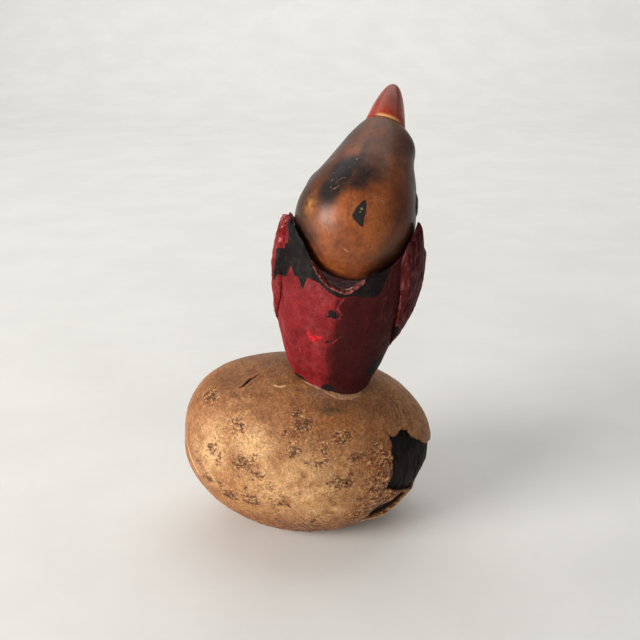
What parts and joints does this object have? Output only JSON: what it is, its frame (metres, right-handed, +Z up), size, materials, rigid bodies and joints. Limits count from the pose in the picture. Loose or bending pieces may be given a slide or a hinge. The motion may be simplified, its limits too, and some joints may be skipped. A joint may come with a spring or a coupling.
{
  "type": "folk-art bird rattle",
  "caption": "Hand-painted wooden bird with a polished nodding gourd head, standing on a hollow nut that rattles with dry seeds.",
  "frame": {"origin": "middle of the flat rubbed on the underside of the nut, where the object rests", "axes": "+Z up, +Y the way the bird faces, +X towards the bird's right and the narrow end of the nut"},
  "size_m": [0.0579, 0.0416, 0.1003],
  "materials": {
    "nut_skin": "thin brittle tan skin, worn satin, pitted and mottled",
    "nut_shell": "near-black hard shell, striated along the chip",
    "foot_peg": "bare turned dowel",
    "glue_fillet": "dried pale craft glue",
    "torso": "matt red craft paint over black, chipped at the edges",
    "left_wing": "gouged wood, red paint rubbed over black, semi-gloss",
    "right_wing": "gouged wood, red paint rubbed over black, semi-gloss",
    "neck_axle": "drawn wire",
    "head_gourd": "polished amber-brown gourd, glossy, with black scuffs",
    "beak": "glossy translucent red-orange, cream at the root",
    "left_eye": "raised dab of black paint",
    "right_eye": "raised dab of black paint",
    "counterweight": "rough cast slug",
    "rattle_seeds_left": "dry brown seeds",
    "rattle_seeds_middle": "dry brown seeds",
    "rattle_seeds_right": "dry brown seeds"
  },
  "bodies": {
    "base": {"nut_skin": "nut_skin", "nut_shell": "nut_shell", "foot_peg": "foot_peg", "glue_fillet": "glue_fillet", "torso": "torso", "left_wing": "left_wing", "right_wing": "right_wing", "neck_axle": "neck_axle"},
    "head": {"head_gourd": "head_gourd", "beak": "beak", "left_eye": "left_eye", "right_eye": "right_eye", "counterweight": "counterweight"},
    "seeds_left": {"rattle_seeds_left": "rattle_seeds_left"},
    "seeds_middle": {"rattle_seeds_middle": "rattle_seeds_middle"},
    "seeds_right": {"rattle_seeds_right": "rattle_seeds_right"}
  },
  "joints": [
    {"name": "head_nod", "type": "hinge", "parent": "base", "child": "head", "pos_m": [0.00979, -0.00419, 0.07034], "axis": [-0.9704, 0.2079, 0.1226], "range_deg": [-10, 26]},
    {"name": "seeds_left_tumble", "type": "hinge", "parent": "base", "child": "seeds_left", "pos_m": [0, 0, 0.0194], "axis": [0.999, 0, -0.0436], "range_deg": [-40, 40]},
    {"name": "seeds_middle_tumble", "type": "hinge", "parent": "base", "child": "seeds_middle", "pos_m": [0, 0, 0.0194], "axis": [0.999, 0, -0.0436], "range_deg": [-40, 40]},
    {"name": "seeds_right_tumble", "type": "hinge", "parent": "base", "child": "seeds_right", "pos_m": [0, 0, 0.0194], "axis": [0.999, 0, -0.0436], "range_deg": [-40, 40]}
  ]
}
